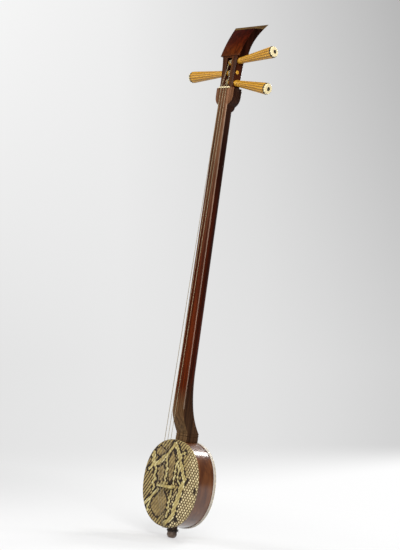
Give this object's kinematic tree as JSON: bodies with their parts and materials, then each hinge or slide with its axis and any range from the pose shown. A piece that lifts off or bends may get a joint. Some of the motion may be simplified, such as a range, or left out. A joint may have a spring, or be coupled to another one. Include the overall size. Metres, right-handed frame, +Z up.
{
  "type": "sanxian",
  "caption": "Long-necked plucked lute with an oval skin-covered drum, a fretless neck, an open pegbox under a backswept spade head, and reeded tuning pegs that turn.",
  "frame": {"origin": "centre of the worn flat under the tail pin, the instrument's lowest point", "axes": "+Z up along the neck, -Y out of the front skin, +X to the side with two tuning pegs"},
  "size_m": [0.209, 0.0764, 0.9508],
  "materials": {
    "neck_wood": "waxed, satin",
    "head_wood": "lacquered, satin",
    "facing_wood": "bare, satin",
    "lacquered_wood": "clear lacquer, glossy",
    "snakeskin": "dry, semi-matte",
    "snakeskin_edge": "dry, matte",
    "bone": "polished, semi-matte",
    "bamboo": "natural, satin",
    "boxwood": "polished, satin",
    "horn": "polished",
    "silk": "smooth, slightly shiny",
    "tail_cord": "waxed, matte"
  },
  "bodies": {
    "instrument": {"neck": "neck_wood", "head": "head_wood", "head_facing": "facing_wood", "neck_spike": "neck_wood", "tail_pin": "neck_wood", "drum_board_top": "lacquered_wood", "drum_board_bottom": "lacquered_wood", "drum_board_left": "lacquered_wood", "drum_board_right": "lacquered_wood", "front_skin": "snakeskin", "back_skin": "snakeskin_edge", "nut": "bone", "bridge": "bamboo", "string_1": "silk", "string_2": "silk", "string_3": "silk", "tail_binding": "tail_cord"},
    "low_peg": {"peg_low": "boxwood", "peg_low_ring": "horn", "peg_low_cap": "bone", "peg_low_stud": "horn", "string_2_winding": "silk"},
    "middle_peg": {"peg_middle": "boxwood", "peg_middle_ring": "horn", "peg_middle_cap": "bone", "peg_middle_stud": "horn", "string_3_winding": "silk"},
    "high_peg": {"peg_high": "boxwood", "peg_high_ring": "horn", "peg_high_cap": "bone", "peg_high_stud": "horn", "string_1_winding": "silk"}
  },
  "joints": [
    {"name": "low_peg_turn", "type": "hinge", "parent": "instrument", "child": "low_peg", "pos_m": [0, -0.0184, 0.8302], "axis": [0.9845, 0, -0.1754], "continuous": true},
    {"name": "middle_peg_turn", "type": "hinge", "parent": "instrument", "child": "middle_peg", "pos_m": [0, -0.0184, 0.8469], "axis": [-0.9997, 0, -0.0244], "continuous": true},
    {"name": "high_peg_turn", "type": "hinge", "parent": "instrument", "child": "high_peg", "pos_m": [0, -0.0184, 0.8664], "axis": [0.9912, 0, 0.1323], "continuous": true}
  ]
}
